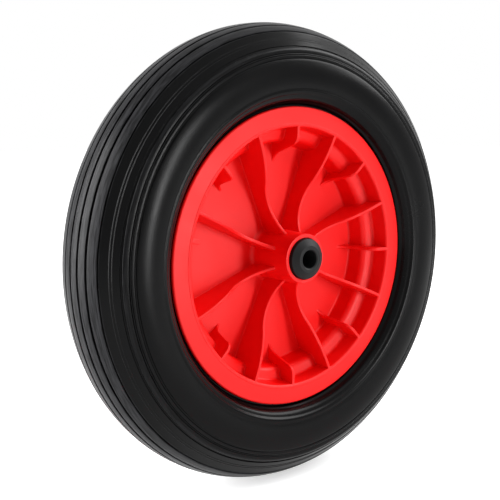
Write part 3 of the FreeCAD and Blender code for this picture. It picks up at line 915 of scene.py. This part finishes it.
class WHEEL_OT_bushes(bpy.types.Operator):
    """Turn the two plain axle bushes"""

    bl_idname = "wheel.bushes"
    bl_label = "Axle bushes"

    def execute(self, context):
        settings = context.scene.wheel_bush
        lift = [BLACK_LIFT * channel for channel in settings.colour]
        plastic = moulded_plastic("black nylon", settings.colour, lift, 0.47, 0.14, 1100.0)
        for node, away in (("bush_front", FRONT), ("bush_rear", BACK)):
            bm = bmesh.new()
            draw_outline(bm, BUSH_OUTLINE, away)
            ends = [vertex for vertex in bm.verts if len(vertex.link_edges) == 1]
            bm.edges.new(ends)
            spin_round_axle(bm, settings.divisions)
            finish_piece(f"{node}_turned", bm, plastic, [node])
        return {"FINISHED"}


# Valve and inner tube


class WHEEL_OT_valve(bpy.types.Operator):
    """Give the brass barrel and core, the cap and the inner tube their finishes"""

    bl_idname = "wheel.valve"
    bl_label = "Valve and inner tube"

    def execute(self, context):
        brass = brass_material("valve brass", context.scene.wheel_valve.brass)
        colour = context.scene.wheel_bush.colour
        lift = [BLACK_LIFT * channel for channel in colour]
        cap = moulded_plastic("cap plastic", colour, lift, 0.4, 0.2, 1500.0)
        rubber = rubber_material("tube rubber", context.scene.wheel_tyre.colour)
        finishes = {
            "valve_barrel": brass,
            "valve_core": brass,
            "valve_cap": cap,
            "inner_tube": rubber,
        }
        for node, material in finishes.items():
            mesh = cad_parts[node].data
            mesh.materials.clear()
            mesh.materials.append(material)
        return {"FINISHED"}


# Stage

# A lamp's name, direction from the wheel, distance, width and height, and the setting of its power.
LAMPS = (
    ("key lamp", (0.80, -0.30, 0.60), 1.5, (0.8, 0.9), "key_power"),
    ("front lamp", (0.305, -0.945, 0.04), 1.5, (0.20, 0.60), "front_power"),
    ("side lamp", (-0.88, 0.36, 0.27), 1.0, (0.70, 0.90), "side_power"),
    ("top lamp", (0.25, -0.60, 0.75), 1.5, (1.2, 0.8), "top_power"),
)
FLOOR_SIZE = 6.0
FLOOR_GAP = 0.5 * MM

# The floor's glow to the camera grows with the distance from its middle, in metres.
GLOW_REACH = (0.3, 1.6)
GLOW_STRENGTH = (0.55, 1.0)

CAMERA_LENS, CAMERA_SENSOR = 74.87, 36.0
CAMERA_PLACE = (-0.55999, -0.66230, 0.12202)
CAMERA_BACK = (-0.62530, -0.76831, 0.13674)
CAMERA_RIGHT = (0.77560, -0.63123, 0.0)


def softbox(name, direction, distance, size, power):
    """A rectangular lamp that faces the wheel from a direction."""
    lamp = bpy.data.lights.new(name, "AREA")
    lamp.shape = "RECTANGLE"
    lamp.size, lamp.size_y = size
    lamp.energy = power
    holder = bpy.data.objects.new(name, lamp)
    bpy.context.scene.collection.objects.link(holder)
    holder.location = Vector(direction).normalized() * distance
    holder.rotation_mode = "QUATERNION"
    holder.rotation_quaternion = (-holder.location).to_track_quat("-Z", "Y")


def white_to_the_camera(tree):
    """How far a ray sees plain white: the camera's rays, reflections and rays through glass."""
    path = tree.nodes.new("ShaderNodeLightPath").outputs
    seen = maths(tree, "MAXIMUM", path["Is Camera Ray"], path["Is Glossy Ray"])
    return maths(tree, "MAXIMUM", seen, path["Is Transmission Ray"])


class WHEEL_OT_stage(bpy.types.Operator):
    """Set up the floor, the even room light, the lamps and the camera"""

    bl_idname = "wheel.stage"
    bl_label = "Stage"

    def execute(self, context):
        settings = context.scene.wheel_stage
        self.make_world(context, settings)
        self.make_floor(context)
        for name, direction, distance, size, power in LAMPS:
            softbox(name, direction, distance, size, getattr(settings, power))
        self.make_camera(context)
        context.scene.view_settings.view_transform = "Standard"
        return {"FINISHED"}

    @staticmethod
    def make_world(context, settings):
        """White to the camera, and an even light of its own strength on the wheel."""
        world = bpy.data.worlds.new("white room")
        context.scene.world = world
        world.use_nodes = True
        tree = world.node_tree
        strength = add_node(
            tree, "ShaderNodeMix", {"data_type": "FLOAT"},
            _0=white_to_the_camera(tree), _2=settings.room_light, _3=1.0,
        ).outputs[0]
        feed(tree, tree.nodes["Background"], Color=(1.0, 1.0, 1.0, 1.0), Strength=strength)

    @staticmethod
    def make_floor(context):
        """A white floor under the tyre that keeps its soft shadow."""
        bm = bmesh.new()
        bmesh.ops.create_grid(bm, x_segments=1, y_segments=1, size=FLOOR_SIZE)
        bmesh.ops.translate(bm, verts=bm.verts[:], vec=(0, 0, CAD_BOX[0].z - FLOOR_GAP))
        mesh = bpy.data.meshes.new("floor")
        bm.to_mesh(mesh)
        bm.free()
        floor = bpy.data.objects.new("floor", mesh)
        context.scene.collection.objects.link(floor)
        material, tree, shader = start_material("white floor")
        place = tree.nodes.new("ShaderNodeTexCoord").outputs["Object"]
        distance = add_node(
            tree, "ShaderNodeVectorMath", {"operation": "LENGTH"}, _0=place,
        ).outputs["Value"]
        share = remap(tree, distance, *GLOW_REACH, *GLOW_STRENGTH)
        glow = maths(tree, "MULTIPLY", share, white_to_the_camera(tree))
        grey = add_node(tree, "ShaderNodeCombineColor", None, Red=glow, Green=glow, Blue=glow)
        feed(
            tree, shader,
            Base_Color=(0.8, 0.8, 0.8, 1.0), Roughness=0.9, Specular_IOR_Level=0.0,
            Emission_Color=grey.outputs["Color"], Emission_Strength=1.0,
        )
        mesh.materials.append(material)

    @staticmethod
    def make_camera(context):
        """The photograph's own viewpoint."""
        data = bpy.data.cameras.new("camera")
        camera = bpy.data.objects.new("camera", data)
        context.scene.collection.objects.link(camera)
        data.lens, data.sensor_width = CAMERA_LENS, CAMERA_SENSOR
        back, right = Vector(CAMERA_BACK).normalized(), Vector(CAMERA_RIGHT).normalized()
        turn = Matrix((right, back.cross(right), back)).transposed()
        camera.matrix_world = Matrix.Translation(CAMERA_PLACE) @ turn.to_4x4()
        context.scene.camera = camera


# Panel and registration


class WHEEL_PT_panel(bpy.types.Panel):
    """The wheel's pieces and settings"""

    bl_label = "Wheelbarrow wheel"
    bl_idname = "WHEEL_PT_panel"
    bl_space_type = "VIEW_3D"
    bl_region_type = "UI"
    bl_category = "Wheel"

    def draw(self, context):
        layout = self.layout
        for operator in PIECE_OPERATORS:
            layout.operator(operator.bl_idname)
        for label, kind in SETTINGS.items():
            box = layout.box()
            group = getattr(context.scene, label)
            for name in kind.__annotations__:
                box.prop(group, name)


SETTINGS = {
    "wheel_tyre": WheelTyreSettings,
    "wheel_rim": WheelRimSettings,
    "wheel_bush": WheelBushSettings,
    "wheel_valve": WheelValveSettings,
    "wheel_stage": WheelStageSettings,
}
PIECE_OPERATORS = (WHEEL_OT_tyre, WHEEL_OT_rim, WHEEL_OT_bushes, WHEEL_OT_valve, WHEEL_OT_stage)
CLASSES = (*SETTINGS.values(), *PIECE_OPERATORS, WHEEL_PT_panel)


def register():
    """Adds the settings, operators and panel to Blender."""
    for kind in CLASSES:
        bpy.utils.register_class(kind)
    for label, kind in SETTINGS.items():
        setattr(bpy.types.Scene, label, PointerProperty(type=kind))


def unregister():
    """Takes them out again."""
    for label in SETTINGS:
        delattr(bpy.types.Scene, label)
    for kind in reversed(CLASSES):
        bpy.utils.unregister_class(kind)


def main():
    """Registers the add-on and builds the whole wheel and its stage."""
    register()
    bpy.ops.wheel.tyre()
    bpy.ops.wheel.rim()
    bpy.ops.wheel.bushes()
    bpy.ops.wheel.valve()
    bpy.ops.wheel.stage()


if __name__ == "__main__":
    main()
